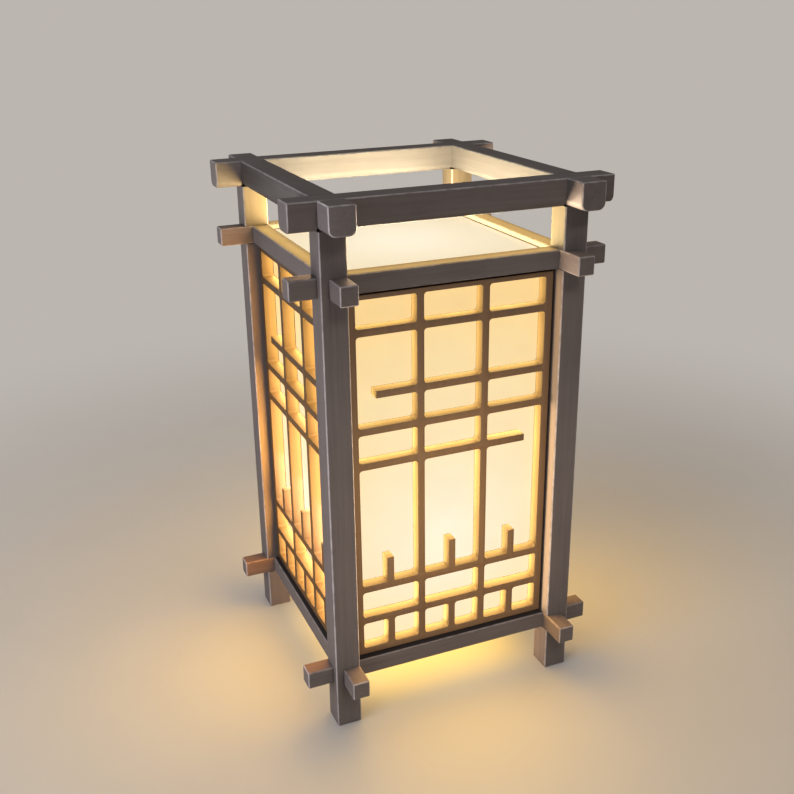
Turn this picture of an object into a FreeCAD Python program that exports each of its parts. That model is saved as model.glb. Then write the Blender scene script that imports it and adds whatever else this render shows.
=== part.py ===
import FreeCAD, Part
import os
import Sketcher

# Shoji table lamp: posts, crossed beams and rails round four lattice panels backed by opal sheets.
# Millimetres, +Z up. The front faces -Y, and the origin lies on the table under the lamp's middle.

doc = FreeCAD.newDocument("shoji_table_lamp")

driving_sizes = {
    # frame
    "outer_side": 210,  # over the outer faces of two posts
    "post_side": 20,
    "end_overhang": 21,  # beam and rail ends past the posts
    "foot_height": 38,  # table to the lower rails
    "rail_height": 14.6,
    "rail_width": 13.6,
    "beam_height": 21,
    "beam_width": 20,
    "beam_round": 5.5,  # rounded lower edges of the top beams
    "window_height": 32.7,  # open band between the upper rails and the top beams
    "tenon_side": 10,  # stub tenon on top of each post
    "edge_soft": 0.8,  # softened edges of the frame timbers
    "joint_clear": 0.1,  # glue gap in laps, notches and mortises
    # lattice panels
    "lattice_thick": 10,
    "border_side": 7.8,
    "border_low": 7.4,
    "border_top": 5.5,
    "groove_width": 2,  # shadow groove round the front edge
    "groove_depth": 6,
    "bar_width": 5.7,
    "cell_small": 22.4,  # height of four low rows
    "cell_top": 21.5,
    "cell_mid": 42.6,
    "cell_tall": 99.8,
    "cell_round": 2.5,
    "free_end_gap": 14.7,  # from the stile to the free end of a bar
    "stud_side_height": 21.5,
    "stud_mid_height": 25,
    "panel_clear": 0.2,
    # opal sheets and plate
    "sheet_thick": 2,
    "plate_thick": 3,
    "plate_drop": 4.5,  # plate face below the top of the upper rails
    "plate_clear": 0.75,
    "plate_round": 2,
    "ledge_width": 6,
    "ledge_height": 6,
    # lamp board
    "board_width": 44,
    "board_thick": 8,
    "board_lap": 8,  # board ends let into the side rails
    "board_screw_radius": 1.5,
    "board_screw_length": 12,
    "board_screw_head_radius": 2.9,
    "screw_clear": 0.1,
    "pilot_spare": 0.4,  # pilot hole past the screw's end
    # bulb
    "bulb_cap_radius": 13.1,
    "bulb_cap_height": 24,
    "bulb_cap_wall": 0.4,
    "bulb_contact_radius": 4.5,
    "bulb_contact_tip": 3.6,
    "bulb_contact_height": 1.2,
    "bulb_insulator_height": 3,
    "bulb_insulator_foot": 9,
    "bulb_gap": 0.2,  # between the two centre contacts
    "globe_radius": 30,
    "globe_shoulder_radius": 40,
    "globe_wall": 1,
    "globe_collar": 5,  # neck inside the screw cap
    "globe_clear": 0.3,
    # lamp holder
    "socket_clear": 0.3,  # screw shell round the bulb's cap
    "screw_shell_wall": 0.5,
    "screw_shell_lip": 2,  # foot flange turned inwards
    "screw_shell_drop": 3,  # screw shell below the holder's rim
    "holder_space": 3.6,  # screw shell to the holder's wall
    "holder_wall": 2,
    "holder_clear": 0.1,
    "mouth_clear": 2.1,  # holder's mouth round the bulb's cap
    "shell_height": 33,
    "cap_foot_radius": 13,
    "cap_height": 15,
    "cap_band": 6,  # upright part of the cap, above its cone
    "cap_floor": 4,
    "insert_thick": 5,
    "contact_width": 7,
    "contact_thick": 0.8,
    "contact_rise": 4,
    # nipple, washer and nut
    "nipple_radius": 5,
    "nipple_bore": 3.5,
    "nipple_tail": 1.5,  # nipple end past the nut
    "washer_radius": 10,
    "washer_thick": 1,
    "nut_flats": 14,
    "nut_thick": 4.5,
    "thread_clear": 0.05,
}

sheet = doc.addObject("Spreadsheet::Sheet", "dims")
for row, (alias, number) in enumerate(driving_sizes.items(), 1):
    sheet.set(f"A{row}", alias)
    sheet.set(f"B{row}", str(number))
    sheet.setAlias(f"B{row}", alias)
doc.recompute()

# Levels and widths that several pieces share, written as sheet formulas
half_outer = "(dims.outer_side / 2)"
half_inner = "(dims.outer_side / 2 - dims.post_side)"
timber_length = "(dims.outer_side + 2 * dims.end_overhang)"
lattice_width = f"(2 * {half_inner} - 2 * dims.panel_clear)"
all_cells = "4 * dims.cell_small + dims.cell_tall + dims.cell_mid + dims.cell_top"
lattice_height = f"(dims.border_low + {all_cells} + 6 * dims.bar_width + dims.border_top)"
cell_width = f"(({lattice_width} - 2 * dims.border_side - 2 * dims.bar_width) / 3)"
half_cell_width = f"(({cell_width} - dims.bar_width) / 2)"
lower_rail_z = "dims.foot_height"
lattice_z = "(dims.foot_height + dims.rail_height + dims.panel_clear)"
upper_rail_z = f"({lattice_z} + {lattice_height} + dims.panel_clear)"
beam_z = f"({upper_rail_z} + dims.rail_height + dims.window_height)"
rail_y = f"(-{half_inner} - dims.rail_width)"
beam_y = f"(-{half_outer})"
plate_z = f"({upper_rail_z} + dims.rail_height - dims.plate_drop - dims.plate_thick)"
board_top_z = "(dims.foot_height + dims.board_thick)"
tiny = 1e-6  # tolerance for comparing coordinates


def measure(formula):
    return float(sheet.evalExpression(formula))


def new_body(label, turn=0):
    body = doc.addObject("PartDesign::Body", label)
    body.Label = label
    body.Placement.Rotation = FreeCAD.Rotation(FreeCAD.Vector(0, 0, 1), turn)
    return body


def new_sketch(body, role, name, height=None):
    plane = next(item for item in body.Origin.OriginFeatures if item.Role == role)
    sketch = body.newObject("Sketcher::SketchObject", name)
    sketch.AttachmentSupport = [(plane, "")]
    sketch.MapMode = "FlatFace"
    if height:
        sketch.setExpression("AttachmentOffset.Base.z", height)
    return sketch


def bind(sketch, constraint, formula):
    index = sketch.addConstraint(constraint)
    sketch.setExpression(f"Constraints[{index}]", formula)


def bind_point(sketch, line, end, across, up):
    bind(sketch, Sketcher.Constraint("DistanceX", -1, 1, line, end, measure(across)), across)
    bind(sketch, Sketcher.Constraint("DistanceY", -1, 1, line, end, measure(up)), up)


def add_outline(sketch, points, arcs=None):
    # A closed outline through points given as formulas. arcs holds (radius, bulge) by the index of
    # the point where the arc starts; bulge is 1 when the arc turns left of its chord, -1 when right.
    arcs = arcs or {}
    spots = [FreeCAD.Vector(measure(across), measure(up), 0) for across, up in points]
    first = sketch.GeometryCount
    for index, start in enumerate(spots):
        end = spots[(index + 1) % len(spots)]
        if index in arcs:
            radius, bulge = arcs[index]
            chord = end - start
            depth = measure(radius)
            sagitta = depth - max(depth**2 - chord.Length**2 / 4, 0) ** 0.5
            side = FreeCAD.Vector(-chord.y, chord.x, 0).normalize()
            middle = (start + end) / 2 + side * (bulge * sagitta)
            sketch.addGeometry(Part.Arc(start, middle, end))
        else:
            sketch.addGeometry(Part.LineSegment(start, end))
    for index, (across, up) in enumerate(points):
        line = first + index
        following = first + (index + 1) % len(points)
        start_end = start_vertex(sketch, line, spots[index])
        bind_point(sketch, line, start_end, across, up)
        next_spot = spots[(index + 1) % len(points)]
        tail = 3 - start_end
        head = start_vertex(sketch, following, next_spot)
        sketch.addConstraint(Sketcher.Constraint("Coincident", line, tail, following, head))
        if index in arcs:
            radius = arcs[index][0]
            bind(sketch, Sketcher.Constraint("Radius", line, measure(radius)), radius)


def start_vertex(sketch, line, spot):
    # An arc drawn clockwise is stored the other way round, so its start may be its second vertex
    return 1 if sketch.getPoint(line, 1).distanceToPoint(spot) < tiny else 2


def add_rectangle(sketch, left, low, width, height):
    right = f"({left} + {width})"
    high = f"({low} + {height})"
    add_outline(sketch, [(left, low), (right, low), (right, high), (left, high)])


def add_rounded_rectangle(sketch, left, low, width, height, radius):
    right = f"({left} + {width})"
    high = f"({low} + {height})"
    points = [
        (f"{left} + {radius}", low),
        (f"{right} - {radius}", low),
        (right, f"{low} + {radius}"),
        (right, f"{high} - {radius}"),
        (f"{right} - {radius}", high),
        (f"{left} + {radius}", high),
        (left, f"{high} - {radius}"),
        (left, f"{low} + {radius}"),
    ]
    add_outline(sketch, points, {index: (radius, -1) for index in (1, 3, 5, 7)})


def add_round_bottomed(sketch, left, low, width, height, radius):
    right = f"({left} + {width})"
    high = f"({low} + {height})"
    points = [
        (f"{left} + {radius}", low),
        (f"{right} - {radius}", low),
        (right, f"{low} + {radius}"),
        (right, high),
        (left, high),
        (left, f"{low} + {radius}"),
    ]
    add_outline(sketch, points, {1: (radius, -1), 5: (radius, -1)})


def add_circle(sketch, across, up, radius):
    centre = FreeCAD.Vector(measure(across), measure(up), 0)
    index = sketch.addGeometry(Part.Circle(centre, FreeCAD.Vector(0, 0, 1), measure(radius)))
    bind_point(sketch, index, 3, across, up)
    bind(sketch, Sketcher.Constraint("Radius", index, measure(radius)), radius)


def pad(body, sketch, length, name, side="One side", back=False):
    feature = body.newObject("PartDesign::Pad", name)
    feature.Profile = sketch
    feature.SideType = side
    feature.Reversed = back
    feature.setExpression("Length", length)
    doc.recompute()
    return feature


def pocket(body, sketch, name, depth=None, back=False):
    # Without a depth the cut runs right through, to both sides of the sketch
    before = body.Shape.Volume
    feature = body.newObject("PartDesign::Pocket", name)
    feature.Profile = sketch
    if depth:
        feature.Reversed = back
        feature.setExpression("Length", depth)
    else:
        feature.SideType = "Symmetric"
        feature.Type = "ThroughAll"
    doc.recompute()
    if body.Shape.Volume >= before:
        raise RuntimeError(f"{body.Label}: {name} cuts nothing")
    return feature


def soften(body, feature, test, name):
    edges = [f"Edge{i}" for i, edge in enumerate(feature.Shape.Edges, 1) if test(edge.BoundBox)]
    chamfer = body.newObject("PartDesign::Chamfer", name)
    chamfer.Base = (feature, edges)
    chamfer.setExpression("Size", "dims.edge_soft")
    doc.recompute()


def revolve(body, sketch, name):
    feature = body.newObject("PartDesign::Revolution", name)
    feature.Profile = sketch
    feature.ReferenceAxis = (sketch, ["V_Axis"])
    feature.Angle = 360
    doc.recompute()


def turned_piece(label, points, arcs=None):
    # A piece turned about the lamp's own axis, from an outline of (radius, height) formulas
    body = new_body(label)
    sketch = new_sketch(body, "XZ_Plane", f"{label}_profile")
    add_outline(sketch, points, arcs)
    revolve(body, sketch, f"{label}_turn")
    return body


# Posts: the corner at front left, turned to the other three corners
def post(label, turn):
    body = new_body(label, turn)
    section = new_sketch(body, "XY_Plane", f"{label}_section")
    corner = f"(-{half_outer})"
    add_rectangle(section, corner, corner, "dims.post_side", "dims.post_side")
    shaft = pad(body, section, beam_z, f"{label}_shaft")
    soften(body, shaft, lambda box: box.ZMin < tiny, f"{label}_edges")

    tenon = new_sketch(body, "XY_Plane", f"{label}_tenon_outline", beam_z)
    tenon_corner = f"(-{half_outer} + (dims.post_side - dims.tenon_side) / 2)"
    add_rectangle(tenon, tenon_corner, tenon_corner, "dims.tenon_side", "dims.tenon_side")
    pad(body, tenon, "dims.beam_height / 2 - dims.joint_clear", f"{label}_tenon")

    # Two notches at each rail level leave a square neck at the outer corner
    for plane, way in (("YZ_Plane", "along"), ("XZ_Plane", "across")):
        notch = new_sketch(body, plane, f"{label}_notch_{way}_outline")
        for level in (lower_rail_z, upper_rail_z):
            add_rectangle(
                notch,
                f"({rail_y} - dims.joint_clear)",
                f"({level} - dims.joint_clear)",
                "dims.post_side",
                "(dims.rail_height + 2 * dims.joint_clear)",
            )
        pocket(body, notch, f"{label}_notch_{way}")
    return body


# Beams and rails: a timber along one side of the lamp, lapped where the next side's timber crosses
def timber(label, turn, y_low, z_low, width, height, low_round=None):
    body = new_body(label, turn)
    section = new_sketch(body, "YZ_Plane", f"{label}_section")
    if low_round:
        add_round_bottomed(section, y_low, z_low, width, height, low_round)
    else:
        add_rectangle(section, y_low, z_low, width, height)
    blank = pad(body, section, timber_length, f"{label}_blank", "Symmetric")
    top = measure(f"{z_low} + {height}") - tiny
    half_length = measure(timber_length) / 2 - tiny
    plain = not low_round
    soften(
        body,
        blank,
        lambda box: plain or box.ZMin > top or box.XMin > half_length or box.XMax < -half_length,
        f"{label}_edges",
    )

    # Front and back timbers keep the upper half of the lap, side timbers the lower half
    lap = new_sketch(body, "XZ_Plane", f"{label}_lap_outline")
    lap_depth = f"({height} / 2 + dims.joint_clear / 2)"
    keeps_upper = turn % 180 == 0
    lap_low = f"({z_low} - {height})" if keeps_upper else f"({z_low} + {height} - {lap_depth})"
    lap_height = f"({height} + {lap_depth})"
    lap_width = f"({width} + 2 * dims.joint_clear)"
    add_rectangle(lap, f"({y_low} - dims.joint_clear)", lap_low, lap_width, lap_height)
    add_rectangle(lap, f"(-{y_low} - {width} - dims.joint_clear)", lap_low, lap_width, lap_height)
    pocket(body, lap, f"{label}_lap")
    return body


def top_beam(label, turn):
    body = timber(label, turn, beam_y, beam_z, "dims.beam_width", "dims.beam_height", "dims.beam_round")
    if turn % 180:
        mortise = new_sketch(body, "XY_Plane", f"{label}_mortise_outline")
        mortise_side = "(dims.tenon_side + 2 * dims.joint_clear)"
        near = f"(-{half_outer} + (dims.post_side - {mortise_side}) / 2)"
        far = f"({half_outer} - (dims.post_side + {mortise_side}) / 2)"
        add_rectangle(mortise, near, near, mortise_side, mortise_side)
        add_rectangle(mortise, far, near, mortise_side, mortise_side)
        pocket(body, mortise, f"{label}_mortise")
    return body


def rail(label, turn, z_low):
    return timber(label, turn, rail_y, z_low, "dims.rail_width", "dims.rail_height")


board_screw_across = f"({half_inner} + dims.board_lap / 2)"
board_screw_along = "(dims.board_width / 4)"
pilot_radius = "(dims.board_screw_radius + dims.screw_clear)"


# Side rails are housed for the ends of the lamp board, with pilot holes for its screws
def house_for_board(body):
    label = body.Label
    housing = new_sketch(body, "XZ_Plane", f"{label}_housing_outline", half_inner)
    half_width = "(dims.board_width / 2 + dims.joint_clear)"
    add_rectangle(
        housing,
        f"(-{half_width})",
        "(dims.foot_height - dims.board_thick)",
        f"(2 * {half_width})",
        "(2 * dims.board_thick + dims.joint_clear)",
    )
    pocket(body, housing, f"{label}_housing", "dims.board_lap + dims.joint_clear", back=True)
    pilots = new_sketch(body, "XY_Plane", f"{label}_pilot_outline", board_top_z)
    for way in ("-", ""):
        add_circle(pilots, f"{way}{board_screw_along}", f"(-{board_screw_across})", pilot_radius)
    pilot_depth = "dims.board_screw_length - dims.board_thick + dims.pilot_spare"
    pocket(body, pilots, f"{label}_pilots", pilot_depth, back=True)


def cut_cells(body, name, left, cells, width, count):
    # Cuts one stack of rounded cells and repeats it along the panel
    outline = new_sketch(body, "XZ_Plane", f"{body.Label}_{name}_outline")
    for low, height in cells:
        add_rounded_rectangle(outline, left, low, width, height, "dims.cell_round")
    first = pocket(body, outline, f"{body.Label}_{name}_first")
    pattern = body.newObject("PartDesign::LinearPattern", f"{body.Label}_{name}")
    pattern.Originals = [first]
    pattern.Direction = (outline, ["H_Axis"])
    pattern.Mode = "Spacing"
    pattern.Occurrences = count
    pattern.setExpression("Offset", f"{width} + dims.bar_width")
    body.Tip = pattern
    doc.recompute()


# Lattice panel, drawn as it is seen from outside, its back flush with the rails
def lattice(label, turn):
    body = new_body(label, turn)
    blank = new_sketch(body, "XZ_Plane", f"{label}_blank_outline", half_inner)
    edge_x = f"(-{lattice_width} / 2)"
    add_rectangle(blank, edge_x, lattice_z, lattice_width, lattice_height)
    pad(body, blank, "dims.lattice_thick", f"{label}_blank")

    # The groove leaves the back at full size, where the panel meets the rails and posts
    groove = new_sketch(body, "XZ_Plane", f"{label}_groove_outline", f"({half_inner} + dims.lattice_thick)")
    add_rectangle(groove, edge_x, lattice_z, lattice_width, lattice_height)
    add_rectangle(
        groove,
        f"({edge_x} + dims.groove_width)",
        f"({lattice_z} + dims.groove_width)",
        f"({lattice_width} - 2 * dims.groove_width)",
        f"({lattice_height} - 2 * dims.groove_width)",
    )
    pocket(body, groove, f"{label}_groove", "dims.groove_depth")

    # Rows from the bottom up; the squares are half as wide as the other cells
    first_x = f"({edge_x} + dims.border_side)"
    squares_z = f"({lattice_z} + dims.border_low)"
    low_z = f"({squares_z} + dims.cell_small + dims.bar_width)"
    tall_z = f"({low_z} + dims.cell_small + dims.bar_width)"
    split_z = f"({tall_z} + dims.cell_tall + dims.bar_width)"
    middle_z = f"({split_z} + dims.cell_small + dims.bar_width)"
    wide_z = f"({middle_z} + dims.cell_small + dims.bar_width)"
    top_z = f"({wide_z} + dims.cell_mid + dims.bar_width)"
    column = [
        (low_z, "dims.cell_small"),
        (tall_z, "dims.cell_tall"),
        (split_z, "dims.cell_small"),
        (middle_z, "dims.cell_small"),
        (wide_z, "dims.cell_mid"),
        (top_z, "dims.cell_top"),
    ]
    cut_cells(body, "columns", first_x, column, cell_width, 3)
    cut_cells(body, "squares", first_x, [(squares_z, "dims.cell_small")], half_cell_width, 6)

    # One bar stops short of the left stile, another short of the right one
    free_ends = new_sketch(body, "XZ_Plane", f"{label}_free_end_outline")
    right_end_x = f"(-{first_x} - dims.free_end_gap)"
    for left, cell_z in ((first_x, wide_z), (right_end_x, split_z)):
        low = f"({cell_z} - dims.bar_width - dims.cell_round)"
        add_rectangle(free_ends, left, low, "dims.free_end_gap", "(dims.bar_width + 2 * dims.cell_round)")
    pocket(body, free_ends, f"{label}_free_ends")

    # Studs stand on the bar under the tall cells
    studs = new_sketch(body, "XZ_Plane", f"{label}_stud_outline", half_inner)
    pitch = f"({cell_width} + dims.bar_width)"
    for column, stud_height in ((-1, "side"), (0, "mid"), (1, "side")):
        left = f"({column} * {pitch} - dims.bar_width / 2)"
        sunk = "dims.bar_width / 2"
        height = f"(dims.stud_{stud_height}_height + {sunk})"
        add_rectangle(studs, left, f"({tall_z} - {sunk})", "dims.bar_width", height)
    pad(body, studs, "dims.lattice_thick", f"{label}_studs")
    return body


# Opal sheet against the back of a lattice; each sheet's right end stops at the next sheet
def opal_sheet(label, turn):
    body = new_body(label, turn)
    outline = new_sketch(body, "XZ_Plane", f"{label}_outline", half_inner)
    sheet_low = f"({board_top_z} + dims.panel_clear)"
    sheet_high = f"({plate_z} - dims.ledge_height - dims.panel_clear)"
    add_rectangle(
        outline,
        f"(-{half_inner} + dims.panel_clear)",
        sheet_low,
        f"(2 * {half_inner} - dims.sheet_thick - 2 * dims.panel_clear)",
        f"({sheet_high} - {sheet_low})",
    )
    pad(body, outline, "dims.sheet_thick", f"{label}_sheet", back=True)
    return body


# Ledge strips under the edge of the plate; the side ones fit between the front and back ones
def ledge(label, turn):
    body = new_body(label, turn)
    section = new_sketch(body, "YZ_Plane", f"{label}_section")
    ledge_low = f"({plate_z} - dims.ledge_height)"
    add_rectangle(section, f"(-{half_inner})", ledge_low, "dims.ledge_width", "dims.ledge_height")
    shorter = "dims.ledge_width" if turn % 180 else "0"
    pad(body, section, f"2 * ({half_inner} - {shorter} - dims.panel_clear)", f"{label}_strip", "Symmetric")
    return body


def top_plate(label):
    body = new_body(label)
    outline = new_sketch(body, "XY_Plane", f"{label}_outline", plate_z)
    half_plate = f"({half_inner} - dims.plate_clear)"
    edge = f"(-{half_plate})"
    side = f"(2 * {half_plate})"
    add_rounded_rectangle(outline, edge, edge, side, side, "dims.plate_round")
    pad(body, outline, "dims.plate_thick", f"{label}_sheet")
    return body


def lamp_board(label):
    body = new_body(label)
    outline = new_sketch(body, "XY_Plane", f"{label}_outline", "dims.foot_height")
    half_length = f"({half_inner} + dims.board_lap)"
    left = f"(-{half_length})"
    add_rectangle(outline, left, "(-dims.board_width / 2)", f"(2 * {half_length})", "dims.board_width")
    pad(body, outline, "dims.board_thick", f"{label}_blank")
    holes = new_sketch(body, "XY_Plane", f"{label}_hole_outline")
    add_circle(holes, "0", "0", "(dims.nipple_radius + 2 * dims.joint_clear)")
    for across in ("-", ""):
        for along in ("-", ""):
            add_circle(holes, f"{across}{board_screw_across}", f"{along}{board_screw_along}", pilot_radius)
    pocket(body, holes, f"{label}_holes")
    sinks = new_sketch(body, "XY_Plane", f"{label}_sink_outline", "dims.foot_height")
    head_room = "(dims.board_screw_head_radius + dims.screw_clear)"
    for across in ("-", ""):
        for along in ("-", ""):
            add_circle(sinks, f"{across}{board_screw_across}", f"{along}{board_screw_along}", head_room)
    pocket(body, sinks, f"{label}_sinks", "dims.board_screw_radius + dims.screw_clear", back=True)
    return body


# Lamp holder, stacked up from the board: cap, insert, screw shell, contact and outer shell
socket_radius = "(dims.bulb_cap_radius + dims.socket_clear)"
holder_inner = f"({socket_radius} + dims.screw_shell_wall + dims.holder_space)"
holder_radius = f"({holder_inner} + dims.holder_wall)"
mouth_radius = "(dims.bulb_cap_radius + dims.mouth_clear)"
nipple_hole = "(dims.nipple_radius + dims.thread_clear)"
cap_top_z = f"({board_top_z} + dims.cap_height)"
insert_top_z = f"({cap_top_z} + dims.insert_thick)"
insert_radius = f"({holder_inner} + dims.holder_wall / 2)"
shell_top_z = f"({cap_top_z} + dims.shell_height)"
contact_top_z = f"({insert_top_z} + dims.contact_rise)"


def holder_cap(label):
    band = f"({cap_top_z} - dims.cap_band)"
    floor = f"({board_top_z} + dims.cap_floor)"
    points = [
        (nipple_hole, board_top_z),
        ("dims.cap_foot_radius", board_top_z),
        (holder_radius, band),
        (holder_radius, cap_top_z),
        (holder_inner, cap_top_z),
        (holder_inner, band),
        ("(dims.cap_foot_radius - dims.holder_wall)", floor),
        (nipple_hole, floor),
    ]
    return turned_piece(label, points)


def holder_insert(label):
    points = [
        ("0", cap_top_z),
        (insert_radius, cap_top_z),
        (insert_radius, insert_top_z),
        ("0", insert_top_z),
    ]
    return turned_piece(label, points)


def holder_screw_shell(label):
    outside = f"({socket_radius} + dims.screw_shell_wall)"
    foot = f"({insert_top_z} + dims.screw_shell_wall)"
    top = f"({shell_top_z} - dims.screw_shell_drop)"
    inward = f"({socket_radius} - dims.screw_shell_lip)"
    points = [
        (inward, insert_top_z),
        (outside, insert_top_z),
        (outside, top),
        (socket_radius, top),
        (socket_radius, foot),
        (inward, foot),
    ]
    return turned_piece(label, points)


def holder_shell(label):
    seat = f"({insert_radius} + dims.holder_clear)"
    step = f"({insert_top_z} + dims.holder_clear)"
    rim = f"({shell_top_z} - dims.holder_wall)"
    points = [
        (seat, cap_top_z),
        (holder_radius, cap_top_z),
        (holder_radius, rim),
        (holder_inner, shell_top_z),
        (mouth_radius, shell_top_z),
        (mouth_radius, rim),
        (holder_inner, rim),
        (holder_inner, step),
        (seat, step),
    ]
    return turned_piece(label, points)


# Centre contact: a strip folded back over itself, so that its upper leaf springs
def holder_contact(label):
    body = new_body(label)
    outline = new_sketch(body, "XZ_Plane", f"{label}_outline")
    half = "(dims.contact_width / 2)"
    lower = f"({insert_top_z} + dims.contact_thick)"
    upper = f"({contact_top_z} - dims.contact_thick)"
    points = [
        (f"(-{half})", insert_top_z),
        (half, insert_top_z),
        (half, contact_top_z),
        (f"(-{half})", contact_top_z),
        (f"(-{half})", upper),
        (f"({half} - dims.contact_thick)", upper),
        (f"({half} - dims.contact_thick)", lower),
        (f"(-{half})", lower),
    ]
    add_outline(outline, points)
    pad(body, outline, "dims.contact_width", f"{label}_strip", "Symmetric")
    return body


washer_z = "(dims.foot_height - dims.washer_thick)"
nut_z = f"({washer_z} - dims.nut_thick)"


def nipple(label):
    tail = f"({nut_z} - dims.nipple_tail)"
    top = f"({board_top_z} + dims.cap_floor)"
    points = [
        ("dims.nipple_bore", tail),
        ("dims.nipple_radius", tail),
        ("dims.nipple_radius", top),
        ("dims.nipple_bore", top),
    ]
    return turned_piece(label, points)


def nipple_washer(label):
    points = [
        (nipple_hole, washer_z),
        ("dims.washer_radius", washer_z),
        ("dims.washer_radius", "dims.foot_height"),
        (nipple_hole, "dims.foot_height"),
    ]
    return turned_piece(label, points)


def nipple_nut(label):
    body = new_body(label)
    outline = new_sketch(body, "XY_Plane", f"{label}_outline", nut_z)
    corner = "(dims.nut_flats / 3 ^ 0.5)"
    half_flats = "(dims.nut_flats / 2)"
    points = [
        (corner, "0"),
        (f"({corner} / 2)", half_flats),
        (f"(-{corner} / 2)", half_flats),
        (f"(-{corner})", "0"),
        (f"(-{corner} / 2)", f"(-{half_flats})"),
        (f"({corner} / 2)", f"(-{half_flats})"),
    ]
    add_outline(outline, points)
    pad(body, outline, "dims.nut_thick", f"{label}_blank")
    hole = new_sketch(body, "XY_Plane", f"{label}_hole_outline")
    add_circle(hole, "0", "0", nipple_hole)
    pocket(body, hole, f"{label}_hole")
    return body


# Bulb, stacked up from the holder's centre contact
bulb_contact_z = f"({contact_top_z} + dims.bulb_gap)"
bulb_insulator_z = f"({bulb_contact_z} + dims.bulb_contact_height)"
bulb_cap_z = f"({bulb_insulator_z} + dims.bulb_insulator_height)"
bulb_cap_top_z = f"({bulb_cap_z} + dims.bulb_cap_height)"


def bulb_contact(label):
    points = [
        ("0", bulb_contact_z),
        ("dims.bulb_contact_tip", bulb_contact_z),
        ("dims.bulb_contact_radius", bulb_insulator_z),
        ("0", bulb_insulator_z),
    ]
    return turned_piece(label, points)


def bulb_insulator(label):
    points = [
        ("0", bulb_insulator_z),
        ("dims.bulb_insulator_foot", bulb_insulator_z),
        ("(dims.bulb_cap_radius - dims.bulb_cap_wall)", bulb_cap_z),
        ("0", bulb_cap_z),
    ]
    return turned_piece(label, points)


def bulb_screw_cap(label):
    inside = "(dims.bulb_cap_radius - dims.bulb_cap_wall)"
    floor = f"({bulb_cap_z} + dims.bulb_cap_wall)"
    points = [
        ("0", bulb_cap_z),
        ("dims.bulb_cap_radius", bulb_cap_z),
        ("dims.bulb_cap_radius", bulb_cap_top_z),
        (inside, bulb_cap_top_z),
        (inside, floor),
        ("0", floor),
    ]
    return turned_piece(label, points)


def bulb_globe(label):
    # Neck, shoulder and ball are tangent arcs; wall moves them in by the glass thickness
    foot = f"({bulb_cap_top_z} - dims.globe_collar)"
    neck_radius = "(dims.bulb_cap_radius - dims.bulb_cap_wall - dims.globe_clear)"
    reach = "(dims.globe_radius + dims.globe_shoulder_radius)"
    shoulder_across = f"({neck_radius} + dims.globe_shoulder_radius)"
    rise = f"(({reach} ^ 2 - {shoulder_across} ^ 2) ^ 0.5)"
    centre_z = f"({bulb_cap_top_z} + {rise})"

    def side(wall):
        ball = f"(dims.globe_radius - {wall})"
        neck = f"({neck_radius} - {wall})"
        meet = (f"({shoulder_across} * {ball} / {reach})", f"({centre_z} - {rise} * {ball} / {reach})")
        return neck, ball, meet

    neck, ball, meet = side("0")
    inner_neck, inner_ball, inner_meet = side("dims.globe_wall")
    points = [
        (inner_neck, foot),
        (neck, foot),
        (neck, bulb_cap_top_z),
        meet,
        (ball, centre_z),
        ("0", f"({centre_z} + {ball})"),
        ("0", f"({centre_z} + {inner_ball})"),
        (inner_ball, centre_z),
        inner_meet,
        (inner_neck, bulb_cap_top_z),
    ]
    shoulder = "dims.globe_shoulder_radius"
    inner_shoulder = f"({shoulder} + dims.globe_wall)"
    arcs = {
        2: (shoulder, 1),
        3: (ball, -1),
        4: (ball, -1),
        6: (inner_ball, 1),
        7: (inner_ball, 1),
        8: (inner_shoulder, -1),
    }
    return turned_piece(label, points, arcs)


# Board screws: one group of equal countersunk solids, driven up from below
def board_screws(label):
    radius = measure("dims.board_screw_radius")
    length = measure("dims.board_screw_length")
    head_radius = measure("dims.board_screw_head_radius")
    outline = [(0, 0), (head_radius, 0), (radius, radius), (radius, length), (0, length)]
    points = [FreeCAD.Vector(across, 0, up) for across, up in outline]
    face = Part.Face(Part.makePolygon(points + points[:1]))
    screw = face.revolve(FreeCAD.Vector(), FreeCAD.Vector(0, 0, 1), 360)
    screws = []
    for across in (-1, 1):
        for along in (-1, 1):
            seat = FreeCAD.Vector(
                across * measure(board_screw_across),
                along * measure(board_screw_along),
                measure("dims.foot_height"),
            )
            screws.append(screw.translated(seat))
    group = doc.addObject("Part::Feature", label)
    group.Label = label
    group.Shape = Part.makeCompound(screws)
    return group


sides = {"front": 0, "right": 90, "back": 180, "left": 270}
corners = {"front_left": 0, "front_right": 90, "back_right": 180, "back_left": 270}
pieces = []
for corner, turn in corners.items():
    pieces.append(post(f"post_{corner}", turn))
for side, turn in sides.items():
    pieces.append(top_beam(f"top_beam_{side}", turn))
    pieces.append(rail(f"upper_rail_{side}", turn, upper_rail_z))
    lower_rail = rail(f"lower_rail_{side}", turn, lower_rail_z)
    if turn % 180:
        house_for_board(lower_rail)
    pieces.append(lower_rail)
    pieces.append(lattice(f"lattice_{side}", turn))
    pieces.append(opal_sheet(f"opal_sheet_{side}", turn))
    pieces.append(ledge(f"plate_ledge_{side}", turn))
pieces.append(top_plate("top_opal_plate"))
pieces.append(lamp_board("lamp_board"))
pieces.append(nipple("threaded_nipple"))
pieces.append(nipple_washer("nipple_washer"))
pieces.append(nipple_nut("nipple_nut"))
pieces.append(holder_cap("holder_cap"))
pieces.append(holder_insert("holder_insert"))
pieces.append(holder_screw_shell("holder_screw_shell"))
pieces.append(holder_contact("holder_contact"))
pieces.append(holder_shell("holder_shell"))
pieces.append(bulb_contact("bulb_contact"))
pieces.append(bulb_insulator("bulb_insulator"))
pieces.append(bulb_screw_cap("bulb_screw_cap"))
pieces.append(bulb_globe("bulb_globe"))
pieces.append(board_screws("board_screws"))

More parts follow.
